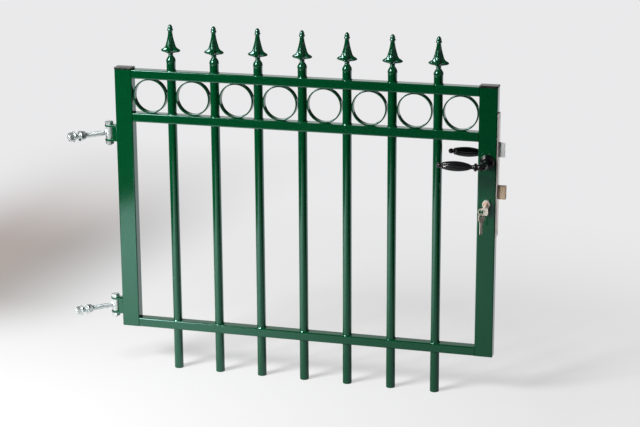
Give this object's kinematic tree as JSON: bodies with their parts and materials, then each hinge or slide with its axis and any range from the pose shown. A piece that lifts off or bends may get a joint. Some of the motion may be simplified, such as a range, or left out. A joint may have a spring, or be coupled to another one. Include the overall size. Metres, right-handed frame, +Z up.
{
  "type": "decorative garden gate leaf",
  "caption": "Green steel garden gate leaf with spear-topped round bars and a frieze of rings, on two eyebolt hinges, with a lever-handled mortise lock and key.",
  "frame": {"origin": "middle of the outer face of the inner washer on the lower threaded rod, where the post's wall seats", "axes": "+X along the leaf at rest towards its lock side, +Y from front to back, +Z up"},
  "size_m": [0.9763, 0.1505, 0.798],
  "materials": {
    "green_powder_coat": "glossy",
    "black_plastic": "satin",
    "zinc_plated_steel": "satin",
    "nickel_plated_steel": "satin",
    "bolt_brass": "satin",
    "black_enamel": "glossy",
    "cylinder_nickel": "satin",
    "plug_brass": "satin",
    "key_nickel": "polished"
  },
  "bodies": {
    "post_hardware": {"lower_eyebolt": "zinc_plated_steel", "upper_eyebolt": "zinc_plated_steel", "rod_nuts": "zinc_plated_steel", "rod_washers": "zinc_plated_steel"},
    "leaf": {"hinge_stile": "green_powder_coat", "lock_stile": "green_powder_coat", "top_rail": "green_powder_coat", "middle_rail": "green_powder_coat", "bottom_rail": "green_powder_coat", "bar_1": "green_powder_coat", "bar_2": "green_powder_coat", "bar_3": "green_powder_coat", "bar_4": "green_powder_coat", "bar_5": "green_powder_coat", "bar_6": "green_powder_coat", "bar_7": "green_powder_coat", "finial_1": "green_powder_coat", "finial_2": "green_powder_coat", "finial_3": "green_powder_coat", "finial_4": "green_powder_coat", "finial_5": "green_powder_coat", "finial_6": "green_powder_coat", "finial_7": "green_powder_coat", "rings": "green_powder_coat", "hinge_stile_cap": "black_plastic", "lock_stile_cap": "black_plastic", "lower_hinge_bracket": "green_powder_coat", "upper_hinge_bracket": "green_powder_coat", "hinge_pins": "zinc_plated_steel", "hinge_pin_nuts": "zinc_plated_steel", "lock_case": "zinc_plated_steel", "lock_face_plate": "nickel_plated_steel", "front_rosette": "black_enamel", "back_rosette": "black_enamel", "lock_cylinder": "cylinder_nickel"},
    "handle": {"front_lever": "black_enamel", "back_lever": "black_enamel", "spindle": "zinc_plated_steel"},
    "latch": {"latch_bolt": "nickel_plated_steel"},
    "bolt": {"deadbolt": "bolt_brass"},
    "key": {"cylinder_plug": "plug_brass", "inserted_key": "key_nickel", "key_ring": "key_nickel", "spare_key": "key_nickel"}
  },
  "joints": [
    {"name": "gate_swing", "type": "hinge", "parent": "post_hardware", "child": "leaf", "pos_m": [0.05126, 0.05126, 0], "axis": [0, 0, 1], "range_deg": [-45, 135]},
    {"name": "lever_turn", "type": "hinge", "parent": "leaf", "child": "handle", "pos_m": [0.91326, 0.05126, 0.395], "axis": [0, -1, 0], "range_deg": [0, 35], "stiffness_Nm_per_rad": 1.2, "springref_deg": -22.92},
    {"name": "latch_slide", "type": "slide", "parent": "leaf", "child": "latch", "axis": [-1, 0, 0], "range_m": [0, 0.013]},
    {"name": "bolt_slide", "type": "slide", "parent": "leaf", "child": "bolt", "axis": [-1, 0, 0], "range_m": [0, 0.017]},
    {"name": "key_turn", "type": "hinge", "parent": "leaf", "child": "key", "pos_m": [0.91326, 0.02976, 0.303], "axis": [0, 1, 0], "range_deg": [0, 360]}
  ],
  "couplings": [
    {"joint": "latch_slide", "follows": "lever_turn", "m_per_rad": 0.0212},
    {"joint": "key_turn", "follows": "bolt_slide", "rad_per_m": 369.5}
  ]
}
